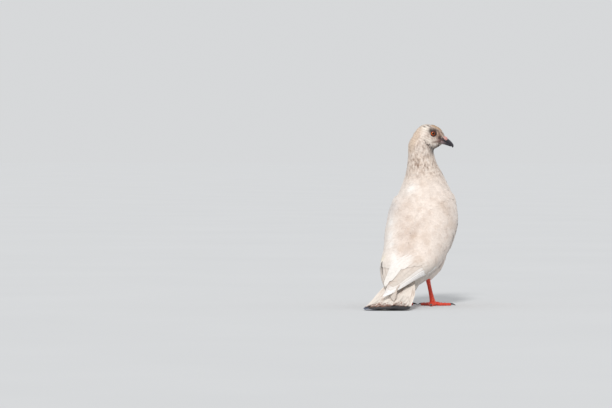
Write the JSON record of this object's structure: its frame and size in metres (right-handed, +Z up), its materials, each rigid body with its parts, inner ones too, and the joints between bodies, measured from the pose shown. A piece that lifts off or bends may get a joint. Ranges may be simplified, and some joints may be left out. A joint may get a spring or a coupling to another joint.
{
  "type": "pigeon",
  "caption": "Pale pigeon standing upright at rest, wings folded, head turned over its right shoulder, tail tip on the floor.",
  "frame": {"origin": "on the floor under the middle of the whole bird's bounding box", "axes": "+Z up, -Y the way the breast faces, +X to the bird's left"},
  "size_m": [0.094, 0.212, 0.2195],
  "materials": {
    "body_plumage": "soft matt feathers, off-white with faint fawn mottling",
    "neck_plumage": "soft matt feathers, pinkish grey-brown with fine darker streaks",
    "face_plumage": "very short matt feathers, fawn crown and browner face",
    "wing_plumage": "smooth covert feathers, off-white with faint fawn smudges",
    "flight_feather": "smooth stiff vanes with a fine barb grain",
    "bill_horn": "satin dark slate horn, paler at the root",
    "cere_skin": "chalky pink, finely wrinkled skin",
    "eye": "wet gloss, orange-red iris and black pupil",
    "leg_skin": "red scaly skin, satin",
    "claw_horn": "black horn, satin"
  },
  "bodies": {
    "root": {"head": "face_plumage", "bill_upper": "bill_horn", "bill_lower": "bill_horn", "cere": "cere_skin", "eye_left": "eye", "eye_right": "eye", "neck": "neck_plumage", "trunk": "body_plumage", "rump": "body_plumage", "tail": "flight_feather", "undertail_coverts": "body_plumage", "wing_left_coverts": "wing_plumage", "wing_left_secondaries": "flight_feather", "wing_left_primaries": "flight_feather", "thigh_left": "body_plumage", "tarsus_left": "leg_skin", "toe_left_1": "leg_skin", "claw_left_1": "claw_horn", "toe_left_2": "leg_skin", "claw_left_2": "claw_horn", "toe_left_3": "leg_skin", "claw_left_3": "claw_horn", "toe_left_4": "leg_skin", "claw_left_4": "claw_horn", "wing_right_coverts": "wing_plumage", "wing_right_secondaries": "flight_feather", "wing_right_primaries": "flight_feather", "thigh_right": "body_plumage", "tarsus_right": "leg_skin", "toe_right_1": "leg_skin", "claw_right_1": "claw_horn", "toe_right_2": "leg_skin", "claw_right_2": "claw_horn", "toe_right_3": "leg_skin", "claw_right_3": "claw_horn", "toe_right_4": "leg_skin", "claw_right_4": "claw_horn"}
  },
  "joints": []
}
